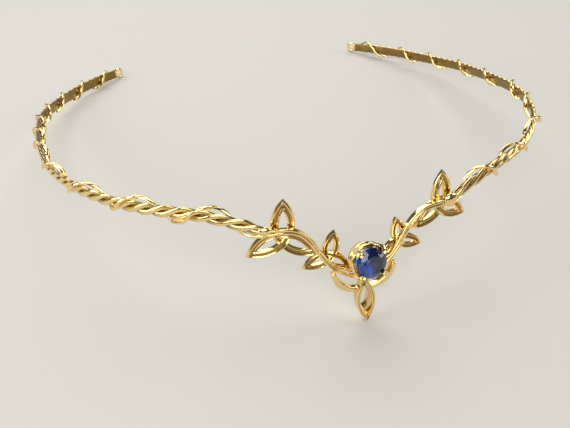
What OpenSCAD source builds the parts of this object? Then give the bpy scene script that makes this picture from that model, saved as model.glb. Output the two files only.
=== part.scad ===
// Open circlet tiara in gold-coloured metal: two braided bands wound with flat
// wire, two vines with four trinity knots, and a set blue stone over a leaf drop.
// It rests on its two end rings and on the tip of the leaf drop.
// Each half is laid out on one upright curved sheet. A place on it is given by
// s, the distance along the curve from the middle of the brow, z, the height
// over the plane of the bands, and o, how far in front of the sheet it lies.

/* [Bands] */
// Height of the braided strip over most of its length
band_height = 2.8; // [2.6:0.1:3.6]
// Height of the strip where it meets the end ring
band_rear_height = 3.4; // [2.6:0.1:4]
// Thickness of the plain strip behind the braid
band_thickness = 0.7; // [0.6:0.1:0.9]
// Distance from the middle of the brow to the front end of each band
band_front = 22; // [21:0.5:24]
// Distance over which the front end narrows to a point
band_front_taper = 5; // [4:0.5:12]

/* [Braid] */
// How far the braid stands up from the strip
braid_rise = 0.65; // [0.4:0.05:0.8]
// Length of one plait of the braid at the brow
plait_front = 4.55; // [4:0.05:5]
// Length of one plait of the braid round the sides and back
plait_side = 3.6; // [3.2:0.1:4.2]
// Steps in which the relief of one plait is cut
plait_steps = 4; // [3:1:5]

/* [Wrap wire] */
// Depth of the flat wire that winds round each band on edge
wrap_depth = 0.9; // [0.8:0.05:1.3]
// Thickness of the flat wire
wrap_thickness = 0.75; // [0.6:0.05:0.9]
// Height by which the wire's crests clear the strip at the brow
wrap_slack_front = 0.95; // [0.4:0.05:1.1]
// Height by which the wire's crests clear the strip at the back
wrap_slack_rear = 0.45; // [0.3:0.05:0.8]
// Height by which the wire clears the strip under it
wrap_slack_under = 0.4; // [0.3:0.05:0.6]
// Steps in which one turn is drawn
wrap_steps = 16; // [14:1:18]

/* [End rings] */
// Radius of the hole in each end ring
ring_bore = 1.15; // [1:0.05:1.4]
// Outer radius of each end ring
ring_radius = 2.25; // [2:0.05:2.5]
// Length of the hole
ring_length = 1.2; // [1:0.1:1.5]

/* [Knots] */
// Radius from the middle of a large knot to the middle of its strand at a tip
large_knot_reach = 8.6; // [8:0.05:9]
// Radius from the middle of a small knot to the middle of its strand at a tip
small_knot_reach = 6.15; // [5.6:0.05:6.4]
// Size of the right knots as a share of the left ones
right_knot_share = 0.93; // [0.9:0.01:1]
// Width of the large knots' strand
large_strand = 1.7; // [1.2:0.05:1.9]
// Width of the small knots' strand
small_strand = 1.2; // [0.9:0.05:1.3]
// Thickness of the knots from back to front
knot_thickness = 1.1; // [0.9:0.1:1.3]
// Height by which one strand steps over another
knot_step = 0.2; // [0.1:0.05:0.3]
// Depth of the groove along the strands
knot_groove = 0.3; // [0.1:0.05:0.4]

/* [Vines] */
// Thickness of each vine wire, which stands on edge
vine_thickness = 0.68; // [0.5:0.02:0.76]
// Depth of each vine wire from back to front
vine_depth = 1.5; // [1.2:0.1:1.7]
// Distance between the middles of a vine's two wires
vine_pitch = 0.74; // [0.7:0.02:0.8]

/* [Setting] */
// Height of the stone's middle over the plane of the bands
stone_height = -15; // [-15.5:0.1:-14.5]
// Angle by which the stone looks upwards
stone_tilt = 9; // [0:1:12]
// Angle by which the stone looks to the right
stone_turn = 4; // [0:1:5]
// Distance from the sheet to the stone's girdle
girdle_forward = 5.2; // [4.8:0.1:5.4]
// Radius of the rail round the stone
rail_radius = 4.2; // [4.1:0.05:4.6]
// Thickness of the rails' wire
rail_wire = 0.7; // [0.6:0.05:0.9]
// Radius of the four claws
claw_radius = 0.45; // [0.35:0.01:0.5]
// Radius of the claws' rounded tips
claw_tip = 0.52; // [0.5:0.01:0.6]
// Radius of the arc of the two loops behind the leaf drop
loop_radius = 6.8; // [6.5:0.1:7.5]

/* [Stone] */
// Radius of the round cut stone
stone_radius = 4; // [3.8:0.1:4]
// Height of the crown over the girdle
crown_height = 1.3; // [1:0.1:1.5]
// Depth of the pavilion under the girdle
pavilion_depth = 3.2; // [2.8:0.1:3.3]
// Width of the table as a share of the stone's width
table_share = 0.57; // [0.5:0.01:0.62]
// Number of main facets round the crown
stone_mains = 8; // [8:1:12]

/* [Leaf drop] */
// Distance from the sheet to the front of the leaf drop
drop_front = 2.6; // [2.4:0.1:2.8]
// Depth of the leaf from back to front
drop_depth = 2.6; // [2.2:0.1:2.8]
// Half the width of the leaf
drop_half_width = 2.45; // [2.3:0.05:2.8]
// Width of the rim of the leaf
drop_rim = 0.72; // [0.6:0.02:0.8]
// Height of the leaf's upper end over the plane of the bands
drop_top = -20.3; // [-20.6:0.1:-20]
// Height of the middle of the ball at the leaf's tip
drop_tip = -33.6; // [-35:0.1:-33]
// Angle by which the leaf leans to the right
drop_lean = 3; // [0:0.5:5]
// Radius of that ball
drop_ball = 0.75; // [0.6:0.05:0.8]

/* [Fit] */
// Gap kept between neighbouring pieces
gap = 0.12; // [0.1:0.01:0.2]

/* [Hidden] */
$fn = 48;

// The curve of the sheet from the middle of the brow to an end ring, as arcs
// that run on from each other: [radius, angle turned]
plan_arcs = [[130, 9], [70, 25], [65, 44], [310, 7], [78, 53]];
// Height of the middle of a band over the plane of the bands: [s, z]
band_line = [[22, -4.8], [25, -3.9], [29, -2.4], [38, 0], [50, 0.7], [60, 1], [72, 1.6],
             [88, 2.2], [105, 2.6], [140, 0.2], [170, -1.3], [210, -0.4]];
// Run of a vine's lower wire from behind the band: [s, z, o, twist]
vine_lead = [[30.8, -1.7, -0.84, 90], [30, -2.9, -0.9, 90], [29.3, -4.2, -0.95, 90],
             [28.5, -5.3, -0.8, 60], [27, -5.95, -0.35, 20], [24.8, -6, -0.1, 0],
             [22.6, -5.9, -0.1, 0]];
// Run of the middle of a vine down to the setting: [s, z, o, twist]
vine_run = [[20.2, -5.35, -0.2, 0], [17.4, -5.65, -0.4, 0], [14.9, -6.8, -0.5, 0],
            [12.9, -8.8, -0.5, 0], [11.2, -11.6, -0.5, 0], [9.6, -14.2, -0.4, 0],
            [7.9, -16.5, -0.2, 10], [6, -18, 0.1, 35], [4.2, -18.9, 0.3, 50],
            [2.8, -19.4, 0.3, 60]];
// Where the wire crests each band, turn by turn from the brow, with the share of
// its usual clearance there: [s, share]
left_crests = [[35.2, 0.75], [53.8, 0.6], [69.5, 0.7], [87, 1], [105, 1], [122, 1], [140, 1],
               [157, 1], [172.5, 1], [188.5, 1], [203.5, 1]];
right_crests = [[32.8, 0.85], [48, 0.6], [67.8, 0.9], [90, 1], [104, 1], [127, 1], [148, 1],
                [168, 1], [184, 1], [203, 1]];
// Each knot: [s, z, o, reach, strand, turn]
left_knots = [[19.2, -7.9, -1.75, large_knot_reach, large_strand, 4],
              [8, -14.7, -1.6, small_knot_reach, small_strand, 11]];
right_knots = [[22.4, -6.6, -1.75, large_knot_reach*right_knot_share, large_strand, 1],
               [10.7, -13.8, -1.6, small_knot_reach*right_knot_share, small_strand, 11]];

// Start of each arc of the plan: [s, x, y, heading]
function arc_starts(i = 0, at = [0, 0, 0, 0]) =
    i == len(plan_arcs) ? [at] :
    let (r = plan_arcs[i][0], turn = plan_arcs[i][1], h = at[3])
    concat([at], arc_starts(i + 1, [at[0] + r*turn*PI/180,
        at[1] + r*(sin(h + turn) - sin(h)), at[2] + r*(cos(h) - cos(h + turn)), h + turn]));
starts = arc_starts();
ring_s = starts[len(plan_arcs)][0];
function arc_of(s, i = 0) =
    i >= len(plan_arcs) - 1 || s < starts[i + 1][0] ? i : arc_of(s, i + 1);
// Plan of the sheet at s: [x, y, heading]
function plan(s) =
    let (i = arc_of(s), a = starts[i], r = plan_arcs[i][0], h = a[3] + (s - a[0])/r*180/PI)
    [a[1] + r*(sin(h) - sin(a[3])), a[2] + r*(cos(a[3]) - cos(h)), h];
// The point at height z and o in front of the sheet, and the directions there
function spot(s, z, o) = let (p = plan(s)) [p[0] + o*sin(p[2]), p[1] - o*cos(p[2]), z];
function front_of(s) = let (h = plan(s)[2]) [sin(h), -cos(h), 0];

// Smooth curve through a table's rows, by its first column
function row_of(t, x, i = 0) = i >= len(t) - 2 || x <= t[i + 1][0] ? i : row_of(t, x, i + 1);
function slope(t, i) =
    let (a = max(i - 1, 0), b = min(i + 1, len(t) - 1)) (t[b] - t[a])/(t[b][0] - t[a][0]);
function smooth(t, x) =
    let (i = row_of(t, x), w = t[i + 1][0] - t[i][0], u = (x - t[i][0])/w,
         p = t[i], q = t[i + 1], m = slope(t, i)*w, n = slope(t, i + 1)*w)
    p*(2*u*u*u - 3*u*u + 1) + m*(u*u*u - 2*u*u + u) + q*(3*u*u - 2*u*u*u) + n*(u*u*u - u*u);
// The same through rows taken one step apart
function along(t, u) =
    let (i = min(floor(u), len(t) - 2), f = u - i,
         p = t[i], q = t[i + 1],
         m = (q - t[max(i - 1, 0)])/(i > 0 ? 2 : 1),
         n = (t[min(i + 2, len(t) - 1)] - p)/(i < len(t) - 2 ? 2 : 1))
    p*(2*f*f*f - 3*f*f + 1) + m*(f*f*f - 2*f*f + f) + q*(3*f*f - 2*f*f*f) + n*(f*f*f - f*f);
function fade(x) = let (u = min(max(x, 0), 1)) u*u*(3 - 2*u);
function unit(v) = v/norm(v);

// Solid through a list of closed rings that have the same number of points
module skin(rings) {
    n = len(rings);
    k = len(rings[0]);
    polyhedron(
        points = [for (r = rings) each r],
        faces = concat(
            [[for (j = [0:k - 1]) j]],
            [for (i = [0:n - 2], j = [0:k - 1], half = [0, 1])
                let (a = i*k + j, b = i*k + (j + 1)%k)
                half == 0 ? [b, a, b + k] : [a, a + k, b + k]],
            [[for (j = [k - 1:-1:0]) (n - 1)*k + j]]));
}

// Rings of a flat wire with six sides along points: it measures t along the way
// that faces gives at each point, and w across that way
function wire_rings(points, faces, w, t) =
    [for (i = [0:len(points) - 1])
        let (dir = unit(points[min(i + 1, len(points) - 1)] - points[max(i - 1, 0)]),
             across = unit(cross(dir, faces[i])), face = cross(across, dir))
        [for (q = [[1, 0.55], [0, 1], [-1, 0.55], [-1, -0.55], [0, -1], [1, -0.55]])
            points[i] + face*q[0]*t/2 + across*q[1]*w/2]];

// Plaits counted from the brow to s: they shorten to the side's length and keep it
plait_from = 31;
plait_even = 85;
plait_gain = (plait_front - sqrt(plait_front*plait_side))/(plait_even - plait_from);
function plait_count(s) =
    let (x = min(s, plait_even) - plait_from)
    x/(plait_front - plait_gain*x) + max(s - plait_even, 0)/plait_side;
// Rise of the braid at s, where v runs from -1 to 1 up the strip
function strand_rise(s, v, k) =
    let (turn = 120*plait_count(s) + 120*k, d = (v - 0.6*sin(turn))/0.46)
    abs(d) < 1 ? (0.66 + 0.34*sin(2*turn))*sqrt(1 - d*d) : 0;
function braid(s, v) = max([for (k = [0:2]) strand_rise(s, v, k)]);

band_rear = ring_s - ring_radius + 0.5;
function band_half(s) =
    let (front = fade((s - band_front)/band_front_taper),
         rear = fade((s - 120)/80))
    (0.6 + (band_height/2 - 0.6)*front)*(1 - rear) + band_rear_height/2*rear;
function relief_share(s) = 0.2 + 0.8*fade((band_rear - 3 - s)/5);
function band_z(s) = smooth(band_line, s)[1];
relief_rows = [1, 0.7, 0.35, 0, -0.35, -0.7, -1];
braid_crown = 0.1;
function band_ring(s) =
    let (h = band_half(s), z = band_z(s))
    concat([spot(s, z - h, -band_thickness/2), spot(s, z + h, -band_thickness/2)],
        [for (v = relief_rows) spot(s, z + v*h,
            band_thickness/2 + braid_crown*(1 - v*v) + braid_rise*relief_share(s)*braid(s, v))]);
plaits = plait_count(band_rear) - plait_count(band_front);
band_steps = ceil(plaits*plait_steps);

// One band with its end ring, on the side where x is positive
module band_half_solid() {
    union() {
        skin([for (i = [0:band_steps])
            band_ring(band_front + (band_rear - band_front)*i/band_steps)]);
        end_ring();
    }
}

module end_ring() {
    translate(spot(ring_s, band_z(ring_s), 0))
        rotate([0, 0, plan(ring_s)[2]])
        rotate([90, 0, 0])
        rotate_extrude()
        polygon([[ring_bore, -ring_length/2], [ring_radius - 0.3, -ring_length/2],
                 [ring_radius, -ring_length/2 + 0.3], [ring_radius, ring_length/2 - 0.3],
                 [ring_radius - 0.3, ring_length/2], [ring_bore, ring_length/2]]);
}

// The wire winds once between one crest and the next: its place at u turns from
// the first crest is [u, s, share], and its crests clear the strip by wrap_slack
wrap_first = -0.22;
wrap_last = 0.25;
function wrap_place(crests, u) =
    smooth([for (i = [0:len(crests) - 1]) [i, each crests[i]]], u);
wrap_power = 0.7;
function bulge(c) = sign(c)*pow(abs(c), wrap_power);
function wrap_slack(s) =
    wrap_slack_front + (wrap_slack_rear - wrap_slack_front)*fade((s - 40)/60);
wrap_inner = band_thickness/2 + gap + wrap_depth/2;
wrap_outer = wrap_inner + braid_rise + braid_crown;
wrap_spare = 0.18;
wrap_flatness = 1.6;
function wrap_middle(s, turn, share) =
    let (mid = (wrap_outer - wrap_inner)/2, reach = (wrap_outer + wrap_inner)/2 + wrap_spare,
         slack = sin(turn) > 0 ? wrap_slack(s)*share : wrap_slack_under,
         rise = max(band_half(s), band_height/2) + wrap_depth/2 + slack)
    spot(s, band_z(s) + bulge(sin(turn))*rise, mid + bulge(cos(turn))*reach);
// The way from the band to the wire, along which its depth lies
function wrap_out(s, turn) = front_of(s)*cos(turn)*wrap_flatness + [0, 0, 1]*sin(turn);

module wrap_wire(crests) {
    last = len(crests) - 1 + wrap_last;
    steps = ceil((last - wrap_first)*wrap_steps);
    at = [for (i = [0:steps]) wrap_place(crests, wrap_first + (last - wrap_first)*i/steps)];
    skin(wire_rings([for (a = at) wrap_middle(a[1], 90 - 360*a[0], a[2])],
                    [for (a = at) wrap_out(a[1], 90 - 360*a[0])],
                    wrap_thickness, wrap_depth));
}

// A vine wire through rows of [s, z, o, twist], on edge where the twist is zero
module vine_wire(rows, steps) {
    us = [for (i = [0:steps]) (len(rows) - 1)*i/steps];
    at = [for (u = us) along(rows, u)];
    points = [for (a = at) spot(a[0], a[1], a[2])];
    faces = [for (i = [0:steps])
        let (dir = unit(points[min(i + 1, steps)] - points[max(i - 1, 0)]),
             out = front_of(at[i][0]), flat = unit(cross(out, dir)))
        flat*cos(at[i][3]) + out*sin(at[i][3])];
    skin(wire_rings(points, faces, vine_depth, vine_thickness));
}

// The vine's middle run moved to one side of itself by d, with d growing at the end
function vine_side(d) =
    [for (i = [0:len(vine_run) - 1])
        let (a = vine_run[max(i - 1, 0)], b = vine_run[min(i + 1, len(vine_run) - 1)],
             r = vine_run[i], run = unit([b[0] - a[0], b[1] - a[1]]),
             spread = 1 + 0.9*fade((i - 6)/2))
        [r[0] - run[1]*d*spread, r[1] + run[0]*d*spread, r[2], r[3]]];

module vine() {
    vine_wire(concat(vine_lead, vine_side(vine_pitch/2)), 44);
    vine_wire(concat([[21.85, -4.75, -0.1, 0]], vine_side(-vine_pitch/2)), 32);
}

// Pointed oval between two arcs of radius r whose centres lie d apart
module lens(r, d) {
    intersection() {
        translate([-d/2, 0]) circle(r);
        translate([d/2, 0]) circle(r);
    }
}
module lens_rim(r, d, w) {
    difference() {
        lens(r + w/2, d);
        lens(r - w/2, d);
    }
}

// Plan of a trinity knot: each strand is a ring of radius r round a point that lies
// d from the middle. The plan is what two of the three discs share, less the holes
module knot_disc(r, d, k) { rotate(120*k) translate([0, -d]) circle(r); }
module knot_plan(r, d, w) {
    difference() {
        union() {
            intersection() {
                knot_disc(r + w/2, d, 0);
                union() for (k = [1, 2]) knot_disc(r + w/2, d, k);
            }
            intersection() {
                knot_disc(r + w/2, d, 1);
                knot_disc(r + w/2, d, 2);
            }
        }
        intersection_for (k = [0:2]) knot_disc(r - w/2, d, k);
        for (k = [0:2]) difference() {
            intersection() {
                knot_disc(r - w/2, d, k + 1);
                knot_disc(r - w/2, d, k + 2);
            }
            knot_disc(r + w/2, d, k);
        }
    }
}

// Trinity knot in the plane z = 0: three arcs, each passing a little over the
// middle, join at three pointed tips. A groove runs along the front of each arc,
// and each strand steps over the next one where they cross
knot_share = 0.12;
groove_short = 4;
step_from = 10;
step_turn = 16;
module knot(reach, w) {
    chord = reach*cos(30);
    sag = reach*(0.5 + knot_share);
    r = (chord*chord + sag*sag)/(2*sag);
    centre = r - knot_share*reach;
    half = asin(chord/r) - groove_short;
    face = knot_thickness/2;
    module arc(from, turn, width, low, high) {
        for (k = [0:2]) rotate([0, 0, 120*k]) translate([0, -centre, 0])
            rotate([0, 0, 90 + from]) rotate_extrude(angle = turn)
            translate([r - width/2, low]) square([width, high - low]);
    }
    difference() {
        translate([0, 0, -face]) linear_extrude(knot_thickness) knot_plan(r, centre, w);
        arc(-half, 2*half, w/3, face - knot_groove, face + 1);
    }
    arc(step_from, step_turn, w*0.8, face - 2*knot_groove, face + knot_step);
}

module placed_knots(table) {
    for (k = table)
        translate(spot(k[0], k[1], k[2]))
            rotate([0, 0, plan(k[0])[2]]) rotate([90, 0, 0]) rotate([0, 0, k[5]])
            knot(k[3], k[4]);
}

// Ball turned so that its poles lie clear of its neighbours
module ball(r) { rotate([40, 25, 0]) sphere(r); }

// Rod from a to b, with a ball at b
module rod(a, b, r, end) {
    d = b - a;
    translate(a) rotate([0, acos(d[2]/norm(d)), atan2(d[1], d[0])]) cylinder(h = norm(d), r = r);
    translate(b) ball(end);
}

module rail(z, r) {
    translate([0, 0, z]) rotate_extrude() translate([r, 0]) circle(rail_wire/2);
}

// Collet, rails and claws round the stone, with the stone's axis along z
rail_drop = 1.4;
collet_base = 3.7;
collet_wall = 0.8;
low_rail = 1.6;
claw_clear = 0.26;
claw_lean = 1.1;
module stone_holder() {
    top = girdle_forward - rail_drop;
    rotate_extrude() polygon([[collet_base - collet_wall, 0], [collet_base, 0],
                              [rail_radius, top], [rail_radius - collet_wall, top]]);
    rail(top, rail_radius);
    rail(low_rail, collet_base + 0.35);
    for (q = [45:90:315]) {
        out = [cos(q), sin(q), 0];
        knee = out*(stone_radius + claw_radius + claw_clear) + [0, 0, girdle_forward + 0.2];
        rod(out*(collet_base - 0.3) + [0, 0, 0.3], knee, claw_radius, claw_radius + 0.06);
        rod(knee, out*(stone_radius - 0.3) + [0, 0, girdle_forward + claw_lean],
            claw_radius - 0.03, claw_tip);
    }
}

// Leaf with a smaller leaf inside it, whose tip ends in a ball. It is drawn from
// its upper end downwards, and its front is the plane z = 0
drop_length = (drop_top - drop_tip)/cos(drop_lean);
inner_leaf = 0.6;
module leaf_drop() {
    r = (drop_length*drop_length/4 + drop_half_width*drop_half_width)/(2*drop_half_width);
    small_half = drop_half_width - drop_rim + 0.2;
    small_length = drop_length*inner_leaf;
    small_r = (small_length*small_length/4 + small_half*small_half)/(2*small_half);
    translate([0, -drop_length/2, -drop_depth]) linear_extrude(drop_depth)
        lens_rim(r - drop_rim/2, 2*(r - drop_half_width), drop_rim);
    translate([0, -small_length/2 - 1.4, -drop_depth + 0.2]) linear_extrude(drop_depth - 0.4)
        lens_rim(small_r - 0.25, 2*(small_r - small_half), 0.5);
    translate([0, -small_length - 0.8, -drop_depth/2]) rotate([90, 0, 0])
        cylinder(h = drop_length - small_length - 1, r = 0.4);
    translate([0, -drop_length, -drop_depth/2]) ball(drop_ball);
    translate([0, -1.6, -drop_depth/2 + 0.1]) rotate([-90, 0, 0]) cylinder(h = 3.1, r = 0.85);
}

// The two loops behind the leaf, from its sides up to a knob under each vine
loop_wire = 1.2;
loop_knob = 0.65;
loop_depth = 1.2;
loop_inset = drop_depth - loop_depth - 0.15;
loop_middle = [1.2, -17.1];
module back_loops() {
    for (m = [0, 1]) mirror([m, 0, 0]) translate(loop_middle) {
        rotate([0, 0, -88]) rotate_extrude(angle = 76)
            translate([loop_radius - loop_wire/2, -loop_depth/2]) square([loop_wire, loop_depth]);
        rotate([0, 0, -12]) translate([loop_radius, 0, 0]) ball(loop_knob);
    }
}

// Puts the stone's axis, drawn along z, at its place over the brow
module stone_place() {
    translate([0, 0, stone_height]) rotate([90 - stone_tilt, 0, stone_turn]) children();
}

module setting_solid() {
    union() {
        stone_place() stone_holder();
        translate([0, -drop_front, drop_top]) rotate([90, 0, 0]) rotate([0, 0, drop_lean])
            leaf_drop();
        translate([0, loop_depth/2 + loop_inset - drop_front, 0]) rotate([90, 0, 0]) back_loops();
    }
}

// Round brilliant cut: table, crown with star and bezel corners, girdle, pavilion
module cut_stone() {
    n = stone_mains;
    table = stone_radius*table_share;
    rings = [[0.02, -pavilion_depth, 0], [stone_radius, -0.08, 0], [stone_radius, 0.08, 0],
             [(stone_radius + table)/2, crown_height*0.56, 90/n], [table, crown_height, 0]];
    skin([for (q = rings) [for (j = [0:2*n - 1])
        let (a = 180*j/n + q[2]) [q[0]*cos(a), q[0]*sin(a), q[1]]]]);
}

// Rest: the front is raised until the leaf's ball and the end rings touch the surface
ring_at = spot(ring_s, band_z(ring_s), 0);
ring_y = ring_at[1] - ring_length/2*cos(plan(ring_s)[2]);
drop_middle = drop_front - drop_depth/2;
reach_y = ring_y + drop_middle;
rest_tilt = asin((drop_ball - ring_radius)/norm([reach_y, drop_tip - ring_at[2]]))
    - atan2(drop_tip - ring_at[2], reach_y);
rest_lift = drop_ball - drop_middle*sin(rest_tilt) - drop_tip*cos(rest_tilt);
rest_back = -71.8;
module rest() {
    translate([0, rest_back, rest_lift]) rotate([-rest_tilt, 0, 0]) children();
}

module left_band() { color("#d9b45a") rest() mirror([1, 0, 0]) band_half_solid(); }
module right_band() { color("#d9b45a") rest() band_half_solid(); }
module left_wrap_wire() { color("#ecd07c") rest() mirror([1, 0, 0]) wrap_wire(left_crests); }
module right_wrap_wire() { color("#ecd07c") rest() wrap_wire(right_crests); }
module left_knotwork() {
    color("#e2bd66") rest() mirror([1, 0, 0]) union() { vine(); placed_knots(left_knots); }
}
module right_knotwork() {
    color("#e2bd66") rest() union() { vine(); placed_knots(right_knots); }
}
module setting() { color("#cfa548") rest() setting_solid(); }
module stone() {
    color("#1b3fa8") rest() stone_place() translate([0, 0, girdle_forward]) cut_stone();
}

left_band();
right_band();
left_wrap_wire();
right_wrap_wire();
left_knotwork();
right_knotwork();
setting();
stone();
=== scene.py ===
# The looks of the open circlet tiara: braided gold bands wound with flat wire,
# two vines with trinity knots, and a blue stone held over a leaf drop.
# Sizes are in millimetres and angles in degrees. The matrix toRow turns a place into metres.
from math import acos, asin, atan2, copysign, cos, hypot, pi, radians, sin, sqrt

import bmesh
import bpy
from mathutils import Matrix, Vector


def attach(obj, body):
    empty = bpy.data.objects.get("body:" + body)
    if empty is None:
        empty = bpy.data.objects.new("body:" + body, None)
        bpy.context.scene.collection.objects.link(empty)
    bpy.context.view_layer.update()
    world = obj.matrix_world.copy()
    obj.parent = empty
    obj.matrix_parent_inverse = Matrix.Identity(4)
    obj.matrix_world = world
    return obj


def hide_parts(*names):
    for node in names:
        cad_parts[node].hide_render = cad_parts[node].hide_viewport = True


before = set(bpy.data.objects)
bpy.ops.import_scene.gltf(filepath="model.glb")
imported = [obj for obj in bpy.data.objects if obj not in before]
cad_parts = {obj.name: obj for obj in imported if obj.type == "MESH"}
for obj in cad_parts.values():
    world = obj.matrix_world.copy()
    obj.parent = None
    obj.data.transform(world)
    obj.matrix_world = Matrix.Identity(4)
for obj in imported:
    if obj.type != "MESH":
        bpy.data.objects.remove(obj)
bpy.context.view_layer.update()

mm = 0.001
samePoint = 1e-7   # points nearer than this are one
sides = {"left": -1, "right": 1}

# The upright curved sheet that the circlet follows, from the middle of the brow to an
# end ring. A place is s along it, z over the plane of the bands and o in front of it.
circlet = {
    "planArcs": ((130, 9), (70, 25), (65, 44), (310, 7), (78, 53)),  # radius and turn
    "bandLine": ((22, -4.8), (25, -3.9), (29, -2.4), (38, 0), (50, 0.7), (60, 1), (72, 1.6),
                 (88, 2.2), (105, 2.6), (140, 0.2), (170, -1.3), (210, -0.4)),  # s and z
    "restBack": -71.8,
}
# The circlet rests on its end rings and on the leaf's ball, so their sizes come first
endRing = {"radius": 2.22, "bore": 1.15, "length": 1.14, "round": 0.42, "steps": 48, "lap": 0.5}
leafDrop = {
    "front": 2.6, "depth": 2.6, "top": -20.3, "tip": -33.6, "lean": 3,
    "halfWidth": 2.45, "rim": 0.95, "ball": 0.75, "ballRows": 18, "ballSides": 28, "steps": 40,
    "soft": 0.12, "ridge": 1.3,
    "shade": (0.2, 0, 0, 0, 1, 0, 0, 0, 0.2, 0.5, 0.5, 0.4, 0.4),   # how deep in a recess
    "inner": {"length": 7.7, "halfWidth": 1.75, "rim": 0.5, "depth": 1.7,
              "at": (-0.25, -2.0, -0.3), "lean": -7},
    "stem": {"top": (0.25, -0.35), "foot": (0.5, -0.75), "radii": (0.42, 0.4)},
    "rods": (   # name, the two ends, the radii there and the sides
        ("leafRib1", (-1.22, 1.5, -0.95), (-0.41, -1.3, -0.45), (0.4, 0.32), 14),
        ("leafRib2", (-0.205, 1.5, -0.95), (0.11, -1.3, -0.45), (0.4, 0.32), 14),
        ("leafRib3", (0.89, 1.5, -0.95), (0.62, -1.3, -0.45), (0.4, 0.32), 14),
        ("leafNeck", (0, -1.6, -1.2), (0, 1.5, -1.2), (0.85, 0.85), 20)),
}


def arcStarts():
    found = [(0, 0, 0, 0)]
    for radius, turn in circlet["planArcs"]:
        s, x, y, h = found[-1]
        end = h + radians(turn)
        found.append((s + radius*radians(turn), x + radius*(sin(end) - sin(h)),
                      y + radius*(cos(h) - cos(end)), end))
    return found


starts = arcStarts()
ringAt = starts[-1][0]


def planAt(s):
    i = max(k for k in range(len(circlet["planArcs"])) if k == 0 or s >= starts[k][0])
    radius = circlet["planArcs"][i][0]
    begin, x, y, h = starts[i]
    now = h + (s - begin)/radius
    return x + radius*(sin(now) - sin(h)), y + radius*(cos(h) - cos(now)), now


# Rises softly from 0 to 1 while x goes from begin to end
def fade(x, begin=0, end=1):
    u = min(max((x - begin)/(end - begin), 0), 1)
    return u*u*(3 - 2*u)


def hermite(p, q, m, n, u):
    a, b, c, d = 2*u**3 - 3*u*u + 1, u**3 - 2*u*u + u, 3*u*u - 2*u**3, u**3 - u*u
    return [a*i + b*j + c*k + d*e for i, j, k, e in zip(p, m, q, n)]


# Smooth curve through a table's rows, by their first column
def smooth(rows, x):
    def slope(i):
        a, b = rows[max(i - 1, 0)], rows[min(i + 1, len(rows) - 1)]
        return [(v - u)/(b[0] - a[0]) for u, v in zip(a, b)]
    i = next((k for k in range(len(rows) - 2) if x <= rows[k + 1][0]), len(rows) - 2)
    width = rows[i + 1][0] - rows[i][0]
    m, n = [v*width for v in slope(i)], [v*width for v in slope(i + 1)]
    return hermite(rows[i], rows[i + 1], m, n, (x - rows[i][0])/width)


# The same through rows taken one step apart
def along(rows, u):
    i = min(int(u), len(rows) - 2)
    before, p, q, after = (rows[max(i - 1, 0)], rows[i], rows[i + 1],
                           rows[min(i + 2, len(rows) - 1)])
    m = [(b - a)/(2 if i > 0 else 1) for a, b in zip(before, q)]
    n = [(b - a)/(2 if i < len(rows) - 2 else 1) for a, b in zip(p, after)]
    return hermite(p, q, m, n, u - i)


def bandHeightAt(s):
    return smooth(circlet["bandLine"], s)[1]


# Turns the circlet until it rests on the leaf's ball and the two end rings
def restTurn():
    y, h = planAt(ringAt)[1:]
    middle = leafDrop["front"] - leafDrop["depth"]/2
    reach = y - endRing["length"]/2*cos(h) + middle
    fall = leafDrop["tip"] - bandHeightAt(ringAt)
    tilt = asin((leafDrop["ball"] - endRing["radius"])/hypot(reach, fall)) - atan2(fall, reach)
    lift = leafDrop["ball"] - middle*sin(tilt) - leafDrop["tip"]*cos(tilt)
    return Matrix.Translation((0, circlet["restBack"], lift)) @ Matrix.Rotation(-tilt, 4, "X")


toRow = Matrix.Scale(mm, 4) @ restTurn()
turnOnly = restTurn().to_3x3()
upAxis = turnOnly @ Vector((0, 0, 1))


def turned(angle, axis):
    return Matrix.Rotation(radians(angle), 4, axis)


def spot(s, z, o, side):
    x, y, h = planAt(s)
    return toRow @ Vector((side*(x + o*sin(h)), y - o*cos(h), z))


# Stands up what was drawn lying flat, at a place on one side
def uprightAt(s, z, o, side):
    x, y, h = planAt(s)
    return (toRow @ Matrix.Scale(side, 4, (1, 0, 0))
            @ Matrix.Translation((x + o*sin(h), y - o*cos(h), z))
            @ Matrix.Rotation(h, 4, "Z") @ turned(90, "X"))


def frontAt(s, side):
    h = planAt(s)[2]
    return turnOnly @ Vector((side*sin(h), -cos(h), 0))


def steps(count):
    return [i/count for i in range(count + 1)]


# Angles all the way round
def turns(count):
    return [2*pi*i/count for i in range(count)]


# One call adds a node, its settings and what goes into its sockets. A node that goes in
# gives its first output
def addNode(tree, kind, into=None, **settings):
    node = tree.nodes.new(kind)
    for key, value in settings.items():
        setattr(node, key, value)
    for key, value in (into or {}).items():
        if isinstance(value, bpy.types.Node):
            value = value.outputs[0]
        if isinstance(value, bpy.types.NodeSocket):
            tree.links.new(value, node.inputs[key])
        else:
            node.inputs[key].default_value = value
    return node


# A Geometry Nodes tree with a named input for each size, and the node that gives them
def newTree(name, inputs):
    tree = bpy.data.node_groups.new(name, "GeometryNodeTree")
    tree.interface.new_socket("Geometry", in_out="INPUT", socket_type="NodeSocketGeometry")
    for key, kind in inputs.items():
        tree.interface.new_socket(key, in_out="INPUT", socket_type="NodeSocket" + kind)
    tree.interface.new_socket("Geometry", in_out="OUTPUT", socket_type="NodeSocketGeometry")
    return tree, tree.nodes.new("NodeGroupInput").outputs


def endTree(tree, geometry, given):
    real = addNode(tree, "GeometryNodeRealizeInstances", {"Geometry": geometry})
    dressed = addNode(tree, "GeometryNodeSetMaterial",
                      {"Geometry": real, "Material": given["Material"]})
    addNode(tree, "NodeGroupOutput", {"Geometry": dressed})
    return tree


def addObject(name, data):
    made = bpy.data.objects.new(name, data)
    bpy.context.scene.collection.objects.link(made)
    return made


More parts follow.
